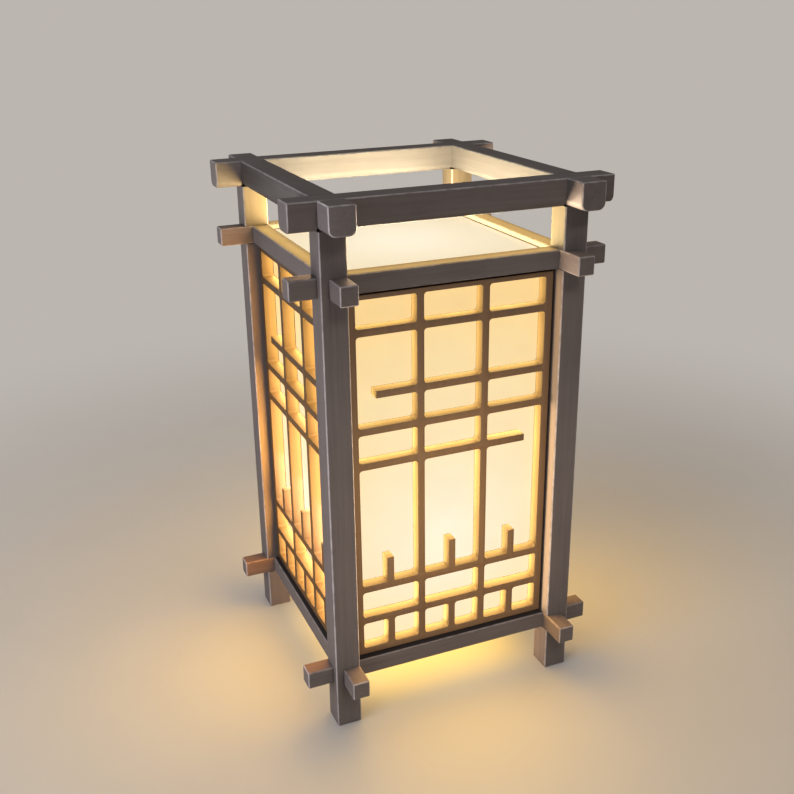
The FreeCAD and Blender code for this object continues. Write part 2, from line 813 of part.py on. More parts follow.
doc.recompute()
for item in doc.Objects:
    if "Invalid" in item.State or "Error" in item.State:
        raise RuntimeError(f"{item.Label}: {item.State}")
for piece in pieces:
    if piece.Shape.isNull() or not piece.Shape.isValid():
        raise RuntimeError(f"{piece.Label}: bad shape")

os.makedirs("parts", exist_ok=True)
for piece in pieces:
    piece.Shape.exportStep(f"parts/{piece.Label}.step")
print(len(pieces), "pieces written")
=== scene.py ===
import math

import bpy
from mathutils import Matrix, Vector


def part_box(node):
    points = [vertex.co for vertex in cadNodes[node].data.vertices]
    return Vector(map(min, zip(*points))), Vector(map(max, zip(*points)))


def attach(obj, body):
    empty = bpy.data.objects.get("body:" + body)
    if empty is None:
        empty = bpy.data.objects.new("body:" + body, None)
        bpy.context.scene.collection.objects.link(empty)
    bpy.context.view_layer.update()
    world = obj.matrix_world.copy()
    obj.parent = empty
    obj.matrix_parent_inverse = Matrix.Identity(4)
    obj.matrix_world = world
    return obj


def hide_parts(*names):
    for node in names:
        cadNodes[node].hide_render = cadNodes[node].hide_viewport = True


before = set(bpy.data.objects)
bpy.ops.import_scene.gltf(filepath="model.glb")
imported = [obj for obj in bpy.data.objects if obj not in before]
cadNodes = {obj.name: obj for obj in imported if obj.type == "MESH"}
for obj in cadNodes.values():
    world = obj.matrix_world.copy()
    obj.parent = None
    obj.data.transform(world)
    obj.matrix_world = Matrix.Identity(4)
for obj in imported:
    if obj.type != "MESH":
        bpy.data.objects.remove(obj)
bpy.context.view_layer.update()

bpy.ops.object.select_all(action="DESELECT")
print("frame loaded:", len(cadNodes), "nodes")

sideTurns = {"front": 0, "right": 90, "back": 180, "left": 270}
cornerNames = ("front_left", "front_right", "back_right", "back_left")
quarter = math.pi / 2
mergeDistance = 0.000002
noiseRange = (0.3, 0.7)  # most of a noise texture lies between these


# Small helpers for node trees
def addNode(tree, kind, links=None, **settings):
    # links gives each input, by name or number, a socket to join or a value to take
    node = tree.nodes.new(kind)
    for key, value in settings.items():
        setattr(node, key, value)
    for key, value in (links or {}).items():
        if isinstance(value, bpy.types.NodeSocket):
            tree.links.new(value, node.inputs[key])
        else:
            node.inputs[key].default_value = value
    return node


def doMath(tree, operation, first, second=0.0, clamp=False):
    links = {0: first, 1: second}
    return addNode(tree, "ShaderNodeMath", links, operation=operation, use_clamp=clamp).outputs[0]


def doVectorMath(tree, operation, *vectors):
    node = addNode(tree, "ShaderNodeVectorMath", dict(enumerate(vectors)), operation=operation)
    givesValue = operation in ("DOT_PRODUCT", "DISTANCE", "LENGTH")
    return node.outputs["Value" if givesValue else "Vector"]


def splitAxes(tree, vector):
    return addNode(tree, "ShaderNodeSeparateXYZ", {0: vector}).outputs


def remap(tree, value, fromRange, toRange, how="LINEAR"):
    links = {"Value": value, "From Min": fromRange[0], "From Max": fromRange[1]}
    links.update({"To Min": toRange[0], "To Max": toRange[1]})
    return addNode(tree, "ShaderNodeMapRange", links, interpolation_type=how).outputs[0]


def addNoise(tree, place, scale, detail, output=0):
    links = {"Vector": place, "Scale": scale, "Detail": detail}
    return addNode(tree, "ShaderNodeTexNoise", links).outputs[output]


def fromNoise(tree, noise, toRange):
    return remap(tree, noise, noiseRange, toRange)


def mixColours(tree, factor, first, second, how="MIX"):
    links = {0: factor, 6: first, 7: second}  # a mix node's colours are its inputs 6 and 7
    return addNode(tree, "ShaderNodeMix", links, data_type="RGBA", blend_type=how).outputs[2]


def makeGroup(name, inputs, outputs):
    group = bpy.data.node_groups.new(name, "ShaderNodeTree")
    for socketName, kind in inputs.items():
        group.interface.new_socket(socketName, in_out="INPUT", socket_type="NodeSocket" + kind)
    for socketName in outputs:
        group.interface.new_socket(socketName, in_out="OUTPUT", socket_type="NodeSocketFloat")
    return group, group.nodes.new("NodeGroupInput").outputs, group.nodes.new("NodeGroupOutput").inputs


def useGroup(tree, group, links):
    return addNode(tree, "ShaderNodeGroup", links, node_tree=group).outputs


def newMaterial(name):
    material = bpy.data.materials.new(name)
    material.use_nodes = True
    tree = material.node_tree
    return material, tree, tree.nodes["Principled BSDF"]


def objectPlace(tree, turn=None):
    place = addNode(tree, "ShaderNodeTexCoord").outputs["Object"]
    if turn:
        place = addNode(tree, "ShaderNodeMapping", {"Vector": place, "Rotation": turn}).outputs[0]
    return place


def addBump(tree, shader, height, strength, distance):
    links = {"Height": height, "Strength": strength, "Distance": distance}
    tree.links.new(addNode(tree, "ShaderNodeBump", links).outputs[0], shader.inputs["Normal"])


def addGlow(tree, shader, base, lit):
    tree.links.new(lit, shader.inputs["Emission Color"])
    shader.inputs["Emission Strength"].default_value = 1.0
    shader.inputs["Base Color"].default_value = base


# Helpers for pieces
def dress(pieces, material):
    for piece in pieces:
        piece.data.materials.clear()
        piece.data.materials.append(material)


def nodesOf(*families):
    return [cadNodes[family + side] for family in families for side in sideTurns]


def heightsAt(nodeName, shares):
    low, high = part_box(nodeName)
    return [low.z + share * (high.z - low.z) for share in shares]


def copyNode(nodeName, pieceName, flatBelow=None):
    # A CAD node's mesh is loose triangles, so its copy is merged, and flat faces are joined where asked
    bpy.ops.object.select_all(action="DESELECT")
    cadNodes[nodeName].select_set(True)
    bpy.context.view_layer.objects.active = cadNodes[nodeName]
    bpy.ops.object.duplicate()
    piece = bpy.context.active_object
    piece.name = pieceName
    bpy.ops.object.mode_set(mode="EDIT")
    bpy.ops.mesh.select_all(action="SELECT")
    bpy.ops.mesh.remove_doubles(threshold=mergeDistance)
    if flatBelow:
        bpy.ops.mesh.dissolve_limited(angle_limit=math.radians(flatBelow))
    bpy.ops.object.mode_set(mode="OBJECT")
    return piece


grainLook = {
    "bowScale": 9.0,
    "bowShift": (0.004, 0.004, 0.004),
    "streakScale": (10.0, 330.0, 330.0),
    "fibreScale": (45.0, 1500.0, 1500.0),
    "blotchScale": 26.0,
    "streakShare": 0.45,
    "fibreShare": 0.2,
    "blotchShare": 0.35,
}


# Grain along X: broad streaks, fine fibres and uneven stain
def makeTimberGrain():
    look = grainLook
    inputs = {"Place": "Vector", "Seed": "Vector"}
    group, given, result = makeGroup("timberGrain", inputs, ("Tone", "Fibre", "Sheen"))
    place = doVectorMath(group, "ADD", given["Place"], given["Seed"])
    bow = addNoise(group, place, look["bowScale"], 1.0, "Color")
    bent = doVectorMath(group, "MULTIPLY_ADD", bow, look["bowShift"], place)
    streak = addNoise(group, doVectorMath(group, "MULTIPLY", bent, look["streakScale"]), 1.0, 3.0)
    fibre = addNoise(group, doVectorMath(group, "MULTIPLY", bent, look["fibreScale"]), 1.0, 2.0)
    blotch = addNoise(group, place, look["blotchScale"], 3.0)
    broad = fromNoise(group, streak, (0.0, look["streakShare"]))
    fine = fromNoise(group, fibre, (0.0, look["fibreShare"]))
    stain = fromNoise(group, blotch, (0.0, look["blotchShare"]))
    tone = doMath(group, "ADD", doMath(group, "ADD", broad, fine), stain)
    group.links.new(tone, result["Tone"])
    group.links.new(fibre, result["Fibre"])
    group.links.new(blotch, result["Sheen"])
    return group


edgeWearAndHighlightLook = {
    "rubScale": 140.0,
    "reach": (0.25, 1.6),  # shares of the wear's width
    "fade": (0.35, 1.0),
    "endFrom": (0.3, 0.5),  # the end chamfer's slope along the grain
    "endTo": (0.85, 0.95),
    "longSlope": (0.8, 0.95),
    "longUpward": (-0.3, -0.1),
    "patches": (0.45, 1.0),
}


# Stain rubbed thin along the edges of a squared timber, given its middle, half sizes and grain axis, and
# a lighter rim on its chamfers that is partly worn stain and partly painted highlight
def makeEdgeWearAndHighlight():
    look = edgeWearAndHighlightLook
    inputs = dict.fromkeys(("Place", "Facing", "Axis", "Middle", "Half"), "Vector")
    inputs.update(dict.fromkeys(("Width", "Long"), "Float"))
    group, given, result = makeGroup("edgeWearAndHighlight", inputs, ("Wear", "RimWearAndHighlight"))
    offset = doVectorMath(group, "SUBTRACT", given["Place"], given["Middle"])
    depth = doVectorMath(group, "SUBTRACT", given["Half"], doVectorMath(group, "ABSOLUTE", offset))
    depthX, depthY, depthZ = splitAxes(group, depth)
    nearer = doMath(group, "MINIMUM", depthX, depthY)
    further = doMath(group, "MAXIMUM", depthX, depthY)
    edgeDistance = doMath(group, "MAXIMUM", nearer, doMath(group, "MINIMUM", further, depthZ))
    rub = addNoise(group, given["Place"], look["rubScale"], 4.0)
    reach = doMath(group, "MULTIPLY", given["Width"], fromNoise(group, rub, look["reach"]))
    share = doMath(group, "DIVIDE", edgeDistance, reach)
    group.links.new(remap(group, share, look["fade"], (1.0, 0.0)), result["Wear"])

    # The rim is the chamfer round each end and along the upper edges, made lighter partly as worn stain
    # and partly as a painted highlight
    facing = given["Facing"]
    endness = doMath(group, "ABSOLUTE", doVectorMath(group, "DOT_PRODUCT", facing, given["Axis"]))
    pastFace = remap(group, endness, look["endFrom"], (0.0, 1.0))
    endRim = doMath(group, "MULTIPLY", pastFace, remap(group, endness, look["endTo"], (1.0, 0.0)))
    faceX, faceY, faceZ = splitAxes(group, doVectorMath(group, "ABSOLUTE", facing))
    squarest = doMath(group, "MAXIMUM", doMath(group, "MAXIMUM", faceX, faceY), faceZ)
    sloped = remap(group, squarest, look["longSlope"], (1.0, 0.0))
    upward = remap(group, splitAxes(group, facing)["Z"], look["longUpward"], (0.0, 1.0))
    longRim = doMath(group, "MULTIPLY", doMath(group, "MULTIPLY", sloped, upward), given["Long"])
    rim = doMath(group, "MAXIMUM", endRim, longRim)
    patchy = doMath(group, "MULTIPLY", rim, fromNoise(group, rub, look["patches"]))
    group.links.new(patchy, result["RimWearAndHighlight"])
    return group


# How near a point is to the bulb: 1 at the reach and less further off
def makeBulbGlow():
    cloudScale = 55.0
    inputs = {"Place": "Vector", "Bulb": "Vector", "Reach": "Float"}
    group, given, result = makeGroup("bulbGlow", inputs, ("Nearness", "Cloud"))
    away = doVectorMath(group, "DISTANCE", given["Place"], given["Bulb"])
    group.links.new(doMath(group, "DIVIDE", given["Reach"], away, clamp=True), result["Nearness"])
    group.links.new(addNoise(group, given["Place"], cloudScale, 5.0), result["Cloud"])
    return group


# Fine cast skin for moulded and pressed pieces
def makeMouldSkin():
    speckFineness = 9.0
    inputs = {"Place": "Vector", "Scale": "Float"}
    group, given, result = makeGroup("mouldSkin", inputs, ("Mottle", "Speck"))
    fineScale = doMath(group, "MULTIPLY", given["Scale"], speckFineness)
    group.links.new(addNoise(group, given["Place"], given["Scale"], 4.0), result["Mottle"])
    group.links.new(addNoise(group, given["Place"], fineScale, 2.0), result["Speck"])
    return group


timberGrain = makeTimberGrain()
edgeWearAndHighlight = makeEdgeWearAndHighlight()
bulbGlow = makeBulbGlow()
mouldSkin = makeMouldSkin()
print("shared node groups ready")


timberLook = {
    "dark": (0.066, 0.057, 0.054, 1.0),
    "light": (0.094, 0.082, 0.078, 1.0),
    "worn": (0.17, 0.155, 0.153, 1.0),
    # lighter colour of the chamfers' rim, partly worn stain and partly painted highlight
    "rim": (0.29, 0.275, 0.28, 1.0),
    # colour of the painted shade on the lower rails' tops under the panels
    "corner": (0.012, 0.01, 0.01, 1.0),
    "seedStart": (0.0, 0.0, 0.0),
    "seedStep": (0.37, 0.053, 0.071),
    "wearWidth": 0.0012,
    "wearShare": 0.45,
    "rimShare": 0.6,
    "longShare": {"lower_rail_": 0.1, "upper_rail_": 0.4},  # of the rim along the upper edges
    "cornerShadeShare": 0.8,
    "cornerShadeUpward": (0.8, 0.95),
    "roughness": (0.5, 0.64),
    "gloss": 0.05,
    "bumpStrength": 0.12,
    "bumpDistance": 0.0004,
}
grainTurns = {"X": None, "Y": (0.0, 0.0, -quarter), "Z": (0.0, quarter, 0.0)}
grainAxes = {"X": (1.0, 0.0, 0.0), "Y": (0.0, 1.0, 0.0), "Z": (0.0, 0.0, 1.0)}


def addGrain(tree, look, grainAxis, index):
    seed = Vector(look["seedStart"]) + index * Vector(look["seedStep"])
    turned = objectPlace(tree, grainTurns[grainAxis])
    return useGroup(tree, timberGrain, {"Place": turned, "Seed": seed})


def finishTimber(tree, shader, look, grain, colour):
    tree.links.new(colour, shader.inputs["Base Color"])
    shader.inputs["Specular IOR Level"].default_value = look["gloss"]
    tree.links.new(fromNoise(tree, grain["Sheen"], look["roughness"]), shader.inputs["Roughness"])
    addBump(tree, shader, grain["Fibre"], look["bumpStrength"], look["bumpDistance"])


# Painted shade on a lower rail's top between the posts, in the corner under the panel
def paintedCornerShade(tree, place, facing, axis, colour):
    look = timberLook
    along = doMath(tree, "ABSOLUTE", doVectorMath(tree, "DOT_PRODUCT", place, axis))
    between = doMath(tree, "LESS_THAN", along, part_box("lattice_front")[1].x)
    upward = remap(tree, splitAxes(tree, facing)["Z"], look["cornerShadeUpward"], (0.0, look["cornerShadeShare"]))
    return mixColours(tree, doMath(tree, "MULTIPLY", between, upward), colour, look["corner"])


def stainedTimber(nodeName, grainAxis, index):
    look = timberLook
    material, tree, shader = newMaterial("stainedTimber_" + nodeName)
    place = objectPlace(tree)
    facing = addNode(tree, "ShaderNodeTexCoord").outputs["Normal"]
    grain = addGrain(tree, look, grainAxis, index)
    family = nodeName.rpartition("_")[0] + "_"
    low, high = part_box(nodeName)
    wearAndHighlight = useGroup(
        tree,
        edgeWearAndHighlight,
        {
            "Place": place,
            "Facing": facing,
            "Axis": grainAxes[grainAxis],
            "Middle": (low + high) / 2,
            "Half": (high - low) / 2,
            "Width": look["wearWidth"],
            "Long": look["longShare"].get(family, 1.0),
        },
    )
    colour = mixColours(tree, grain["Tone"], look["dark"], look["light"])
    worn = doMath(tree, "MULTIPLY", wearAndHighlight["Wear"], look["wearShare"])
    colour = mixColours(tree, worn, colour, look["worn"])
    # the chamfers' rim is made lighter, partly as worn stain and partly as a painted highlight
    rim = doMath(tree, "MULTIPLY", wearAndHighlight["RimWearAndHighlight"], look["rimShare"])
    colour = mixColours(tree, rim, colour, look["rim"])
    # painted shade on the lower rails' tops in the corner under the panel
    if family == "lower_rail_":
        colour = paintedCornerShade(tree, place, facing, grainAxes[grainAxis], colour)
    finishTimber(tree, shader, look, grain, colour)
    return material


timberAxes = {"post_" + corner: "Z" for corner in cornerNames}
for side in sideTurns:
    for family in ("top_beam_", "upper_rail_", "lower_rail_", "plate_ledge_"):
        timberAxes[family + side] = "X" if side in ("front", "back") else "Y"
timberAxes["lamp_board"] = "X"
for index, (nodeName, grainAxis) in enumerate(timberAxes.items()):
    dress([cadNodes[nodeName]], stainedTimber(nodeName, grainAxis, index))
print("timbers stained:", len(timberAxes))


latticeLook = {
    "arris": 0.0004,
    "arrisSegments": 2,
    "arrisFrom": 50,  # degrees between two faces, like the next two
    "smoothBelow": 35,
    "flatBelow": 0.5,
    "dark": (0.067, 0.042, 0.025, 1.0),
    "light": (0.097, 0.061, 0.034, 1.0),
    "seedStart": (0.0, 0.4, 0.0),
    "seedStep": (1.3, 0.0, 0.2),
    "roughness": (0.55, 0.68),
    "gloss": 0.25,
    "bumpStrength": 0.12,
    "bumpDistance": 0.0004,
}


def latticeFinish(side, index):
    look = latticeLook
    material, tree, shader = newMaterial("latticeStain_" + side)
    grain = addGrain(tree, look, "Z", index)
    colour = mixColours(tree, grain["Tone"], look["dark"], look["light"])
    finishTimber(tree, shader, look, grain, colour)
    return material


# Each panel's edges are rubbed round, so a bevelled copy stands for it
def latticePanel(side):
    look = latticeLook
    panel = copyNode("lattice_" + side, "latticePanel_" + side, look["flatBelow"])
    bevel = panel.modifiers.new("arris", "BEVEL")
    bevel.width = look["arris"]
    bevel.segments = look["arrisSegments"]
    bevel.limit_method = "ANGLE"
    bevel.angle_limit = math.radians(look["arrisFrom"])
    bpy.ops.object.modifier_apply(modifier="arris")
    bpy.ops.object.shade_smooth_by_angle(angle=math.radians(look["smoothBelow"]))
    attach(panel, "frame")
    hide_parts("lattice_" + side)
    return panel


latticePanels = []
for index, side in enumerate(sideTurns):
    panel = latticePanel(side)
    dress([panel], latticeFinish(side, index))
    latticePanels.append(panel)
print("lattice panels softened and stained:", [len(panel.data.polygons) for panel in latticePanels])


opalLook = {
    "base": (0.4, 0.33, 0.2, 1.0),
    "stops": {  # colours by nearness to the bulb
        0.36: (0.85, 0.6, 0.255, 1.0),
        0.5: (0.85, 0.68, 0.37, 1.0),
        0.92: (0.86, 0.79, 0.58, 1.0),
        1.0: (0.86, 0.86, 0.67, 1.0),
    },
    "cloudShade": (0.96, 1.0),
    "roughness": (0.38, 0.5),
}


def opalSheetFinish():
    look = opalLook
    material, tree, shader = newMaterial("opalSheet")
    globeLow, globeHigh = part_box("bulb_globe")
    reach = abs(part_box("opal_sheet_front")[0].y)
    links = {"Place": objectPlace(tree), "Bulb": (globeLow + globeHigh) / 2, "Reach": reach}
    glow = useGroup(tree, bulbGlow, links)
    ramp = addNode(tree, "ShaderNodeValToRGB", {0: glow["Nearness"]})
    stops = ramp.color_ramp.elements
    furthest, *between, nearest = look["stops"]
    stops[0].position = furthest
    stops[1].position = nearest
    for position in between:
        stops.new(position)
    for stop, colour in zip(stops, look["stops"].values()):
        stop.color = colour
    shade = fromNoise(tree, glow["Cloud"], look["cloudShade"])
    addGlow(tree, shader, look["base"], mixColours(tree, 1.0, ramp.outputs[0], shade, "MULTIPLY"))
    tree.links.new(fromNoise(tree, glow["Cloud"], look["roughness"]), shader.inputs["Roughness"])
    return material


plateLook = {
    "base": (0.4, 0.36, 0.27, 1.0),
    "edge": (0.72, 0.62, 0.43, 1.0),
    "middle": (0.88, 0.79, 0.61, 1.0),
    "bulbDepth": 0.0607,  # of the glow's middle under the plate
    "reach": 0.06,
    "nearness": (0.45, 0.95),  # at the corners and in the middle
    "roughness": (0.46, 0.56),
    "gloss": 0.2,
}


def opalPlateFinish():
    look = plateLook
    material, tree, shader = newMaterial("opalPlate")
    bulb = (0.0, 0.0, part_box("top_opal_plate")[0].z - look["bulbDepth"])
    links = {"Place": objectPlace(tree), "Bulb": bulb, "Reach": look["reach"]}
    glow = useGroup(tree, bulbGlow, links)
    inward = remap(tree, glow["Nearness"], look["nearness"], (0.0, 1.0))
    addGlow(tree, shader, look["base"], mixColours(tree, inward, look["edge"], look["middle"]))
    shader.inputs["Specular IOR Level"].default_value = look["gloss"]
    tree.links.new(fromNoise(tree, glow["Cloud"], look["roughness"]), shader.inputs["Roughness"])
    return material


dress(nodesOf("opal_sheet_"), opalSheetFinish())
dress([cadNodes["top_opal_plate"]], opalPlateFinish())
print("opal sheets and plate glow")


# Metal, plastic, ceramic and glass of the lamp holder and bulb. Each row holds the dark and light tone,
# how metallic it is and its roughness
fittingLooks = {
    "zincSteel": ((0.36, 0.35, 0.33), (0.66, 0.65, 0.62), 1.0, (0.26, 0.46)),
    "sheetBrass": ((0.44, 0.28, 0.09), (0.74, 0.53, 0.22), 1.0, (0.22, 0.42)),
    "capAluminium": ((0.5, 0.5, 0.5), (0.76, 0.76, 0.75), 1.0, (0.24, 0.4)),
    "solderDrop": ((0.33, 0.33, 0.34), (0.58, 0.58, 0.58), 1.0, (0.3, 0.5)),
    "creamMoulding": ((0.7, 0.65, 0.56), (0.75, 0.705, 0.615), 0.0, (0.22, 0.36)),
    "paleCeramic": ((0.66, 0.64, 0.6), (0.8, 0.79, 0.76), 0.0, (0.55, 0.75)),
    "blackGlass": ((0.01, 0.01, 0.012), (0.03, 0.03, 0.035), 0.0, (0.06, 0.14)),
}
fittingNodes = {
    "zincSteel": ["threaded_nipple", "nipple_washer", "nipple_nut"],
    "sheetBrass": ["holder_screw_shell", "holder_contact"],
    "capAluminium": ["bulb_screw_cap"],
    "solderDrop": ["bulb_contact"],
    "creamMoulding": ["holder_cap", "holder_shell"],
    "paleCeramic": ["holder_insert"],
    "blackGlass": ["bulb_insulator"],
}
fittingSkin = {"scale": 120.0, "bumpStrength": 0.08, "bumpDistance": 0.0002}


def fittingFinish(name):
    look = fittingSkin
    dark, light, metallic, roughness = fittingLooks[name]
    material, tree, shader = newMaterial(name)
    skin = useGroup(tree, mouldSkin, {"Place": objectPlace(tree), "Scale": look["scale"]})
    tone = fromNoise(tree, skin["Mottle"], (0.0, 1.0))
    tree.links.new(mixColours(tree, tone, (*dark, 1.0), (*light, 1.0)), shader.inputs["Base Color"])
    shader.inputs["Metallic"].default_value = metallic
    tree.links.new(fromNoise(tree, skin["Speck"], roughness), shader.inputs["Roughness"])
    addBump(tree, shader, skin["Speck"], look["bumpStrength"], look["bumpDistance"])
    return material


for name, nodeNames in fittingNodes.items():
    dress([cadNodes[nodeName] for nodeName in nodeNames], fittingFinish(name))

# The board's screws get a cross cut into each head
screwLook = {"headRadius": 0.0029, "arm": 0.0038, "slot": 0.0008, "deep": 0.0018}


def crossHeadScrews():
    look = screwLook
    low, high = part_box("board_screws")
    screws = copyNode("board_screws", "crossHeadScrews")
    across, along = high.x - look["headRadius"], high.y - look["headRadius"]
    for arms in ((look["arm"], look["slot"]), (look["slot"], look["arm"])):
        bpy.ops.object.select_all(action="DESELECT")
        bpy.ops.mesh.primitive_cube_add(size=1.0)
        cutter = bpy.context.active_object
        bpy.ops.object.mode_set(mode="EDIT")
        bpy.ops.transform.resize(value=(*arms, 2 * look["deep"]), orient_type="GLOBAL")
        bpy.ops.transform.translate(value=(-across, -along, low.z))
        bpy.ops.object.mode_set(mode="OBJECT")
        for apart in ((2 * across, 0.0, 0.0), (0.0, 2 * along, 0.0)):
            row = cutter.modifiers.new("row", "ARRAY")
            row.count = 2
            row.use_relative_offset = False
            row.use_constant_offset = True
            row.constant_offset_displace = apart
            bpy.ops.object.modifier_apply(modifier="row")
        cut = screws.modifiers.new("cross", "BOOLEAN")
        cut.object = cutter
        cut.solver = "EXACT"
        bpy.context.view_layer.objects.active = screws
        bpy.ops.object.modifier_apply(modifier="cross")
        bpy.data.objects.remove(cutter)
    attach(screws, "frame")
    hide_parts("board_screws")
    return screws


dress([crossHeadScrews()], bpy.data.materials["zincSteel"])

globeLook = {
    "base": (0.5, 0.46, 0.36, 1.0),
    "low": (0.9, 0.72, 0.4, 1.0),
    "high": (1.0, 0.95, 0.78, 1.0),
    "riseShares": (0.08, 0.45),  # of the globe's height
    "skinScale": 60.0,
    "roughness": (0.1, 0.2),
}


def globeFinish():
    look = globeLook
    material, tree, shader = newMaterial("opalGlobe")
    place = objectPlace(tree)
    heights = heightsAt("bulb_globe", look["riseShares"])
    rise = remap(tree, splitAxes(tree, place)["Z"], heights, (0.0, 1.0))
    addGlow(tree, shader, look["base"], mixColours(tree, rise, look["low"], look["high"]))
    skin = useGroup(tree, mouldSkin, {"Place": place, "Scale": look["skinScale"]})
    tree.links.new(fromNoise(tree, skin["Mottle"], look["roughness"]), shader.inputs["Roughness"])
    return material


dress([cadNodes["bulb_globe"]], globeFinish())
print("holder and bulb finished")


# Stage: a plain pale floor that fades into a backdrop
floorLook = {
    "size": 40.0,
    "drop": 0.0001,
    "dark": (0.68, 0.645, 0.6, 1.0),
    "light": (0.72, 0.685, 0.64, 1.0),
    "roughness": 0.62,
    "skinScale": 14.0,
    "backdrop": (0.5, 0.468, 0.43, 1.0),
    "fade": (0.3, 1.0),
}
bpy.ops.mesh.primitive_plane_add(size=floorLook["size"], location=(0.0, 0.0, -floorLook["drop"]))
floor = bpy.context.active_object
floor.name = "studioFloor"


def seenRays(tree):
    rays = addNode(tree, "ShaderNodeLightPath").outputs
    seen = doMath(tree, "MAXIMUM", rays["Is Camera Ray"], rays["Is Glossy Ray"])
    return doMath(tree, "MAXIMUM", seen, rays["Is Transmission Ray"])


def mixShaders(tree, factor, first, second):
    links = {0: factor, 1: first.outputs[0], 2: second.outputs[0]}
    return addNode(tree, "ShaderNodeMixShader", links)


def floorFinish():
    look = floorLook
    material, tree, shader = newMaterial("paleFloor")
    place = objectPlace(tree)
    skin = useGroup(tree, mouldSkin, {"Place": place, "Scale": look["skinScale"]})
    colour = mixColours(tree, skin["Mottle"], look["dark"], look["light"])
    tree.links.new(colour, shader.inputs["Base Color"])
    shader.inputs["Roughness"].default_value = look["roughness"]
    fade = remap(tree, doVectorMath(tree, "LENGTH", place), look["fade"], (0.0, 1.0), "SMOOTHSTEP")
    faded = doMath(tree, "MULTIPLY", fade, seenRays(tree))
    backdrop = addNode(tree, "ShaderNodeEmission", {"Color": look["backdrop"], "Strength": 1.0})
    above = mixShaders(tree, faded, shader, backdrop)
    # From underneath the floor is clear, so that the lamp's underside can be seen
    below = addNode(tree, "ShaderNodeNewGeometry").outputs["Backfacing"]
    surface = mixShaders(tree, below, above, addNode(tree, "ShaderNodeBsdfTransparent"))
    tree.links.new(surface.outputs[0], tree.nodes["Material Output"].inputs["Surface"])
    return material


dress([floor], floorFinish())

skyLook = {"ambient": (0.88, 0.92, 1.0, 1.0), "ambientStrength": 0.14}
world = bpy.data.worlds.new("studioSky")
bpy.context.scene.world = world
world.use_nodes = True
sky = world.node_tree
ambient = sky.nodes["Background"]
ambient.inputs["Color"].default_value = skyLook["ambient"]
ambient.inputs["Strength"].default_value = skyLook["ambientStrength"]
backdrop = addNode(sky, "ShaderNodeBackground", {"Color": floorLook["backdrop"], "Strength": 1.0})
mixedSky = mixShaders(sky, seenRays(sky), ambient, backdrop)
sky.links.new(mixedSky.outputs[0], sky.nodes["World Output"].inputs["Surface"])
print("floor and sky ready")


# Collections that say which objects a light falls on
def receivers(name, objects, state):
    collection = bpy.data.collections.new(name)
    for index, item in enumerate(objects):
        collection.objects.link(item)
        collection.collection_objects[index].light_linking.link_state = state
    return collection


glowing = nodesOf("opal_sheet_") + [cadNodes["top_opal_plate"], cadNodes["bulb_globe"]]
posts = [cadNodes["post_" + corner] for corner in cornerNames]
crossBeams = [cadNodes["top_beam_front"], cadNodes["top_beam_back"]]
leftFace = posts + crossBeams + nodesOf("upper_rail_", "lower_rail_")
fallsOn = {
    "notGlowing": receivers("notGlowing", glowing, "EXCLUDE"),
    "woodwork": receivers("woodwork", glowing + [floor], "EXCLUDE"),
    "floor": receivers("floorOnly", [floor], "INCLUDE"),
    "lattices": receivers("lattices", latticePanels, "INCLUDE"),
    "posts": receivers("posts", posts, "INCLUDE"),
    "leftFace": receivers("leftFace", leftFace, "INCLUDE"),
    "lowFrame": receivers("lowFrame", posts + nodesOf("upper_rail_", "plate_ledge_"), "INCLUDE"),
    "beams": receivers("beams", nodesOf("top_beam_"), "INCLUDE"),
    "leftBeam": receivers("leftBeam", [cadNodes["top_beam_left"]], "INCLUDE"),
    "upperRails": receivers("upperRails", nodesOf("upper_rail_"), "INCLUDE"),
}
# The rails and beams that run across a side's light, so that it reaches their ends and not its own rail
endFamilies = {"lowEnds": "lower_rail_", "highEnds": "upper_rail_", "beamEnds": "top_beam_"}
for side in sideTurns:
    across = ("right", "left") if side in ("front", "back") else ("front", "back")
    for target, family in endFamilies.items():
        crossing = [cadNodes[family + other] for other in across]
        fallsOn[target + side] = receivers(target + "_" + side, crossing, "INCLUDE")


def addAreaLight(name, location, rotation, sizes, watts, colour, target, spread=180):
    bpy.ops.object.light_add(type="AREA", location=location, rotation=rotation)
    light = bpy.context.active_object
    light.name = name
    light.data.shape = "RECTANGLE"
    light.data.size, light.data.size_y = sizes
    light.data.energy = watts
    light.data.color = colour
    light.data.spread = math.radians(spread)
    light.visible_camera = False
    light.light_linking.receiver_collection = fallsOn[target]


# Studio softboxes. Each row holds the azimuth, elevation, distance, size, watts, colour, height that it
# is aimed at, spread and what it falls on
warmWhite = (1.0, 0.95, 0.9)
studioLights = {
    "softboxLeft": (-68, 20, 1.7, 1.1, 12, (0.93, 0.93, 1.0), 0.2, 180, "notGlowing"),
    "fillFront": (2, 42, 1.8, 0.3, 11.5, (1.0, 0.9, 0.84), 0.2, 180, "woodwork"),
    "fillRight": (108, 8, 1.7, 1.0, 8, warmWhite, 0.2, 180, "woodwork"),
    "fillBack": (-168, 8, 1.7, 1.0, 8, warmWhite, 0.2, 180, "woodwork"),
    "nearLeft": (-80, 0, 0.42, 0.3, 1.7, (1.0, 0.94, 0.98), 0.2, 180, "leftFace"),
    "beamLeft": (-52, 0, 0.24, 0.03, 0.065, (0.95, 0.94, 1.0), 0.41, 120, "leftBeam"),
    "nearFront": (0, 0, 0.35, 0.2, 0.33, (1.0, 0.84, 0.7), 0.16, 120, "woodwork"),
    "floorSoft": (0, 90, 4.0, 8.0, 90, (1.0, 0.94, 0.88), 0.0, 180, "floor"),
}
for name, (turn, rise, distance, size, watts, colour, aimed, spread, target) in studioLights.items():
    azimuth, elevation = math.radians(turn), math.radians(rise)
    away = Vector((math.sin(azimuth), -math.cos(azimuth), 0.0)) * math.cos(elevation)
    away.z = math.sin(elevation)
    rotation = away.to_track_quat("Z", "Y").to_euler()
    place = Vector((0.0, 0.0, aimed)) + away * distance
    addAreaLight(name, place, rotation, (size, size), watts, colour, target, spread)

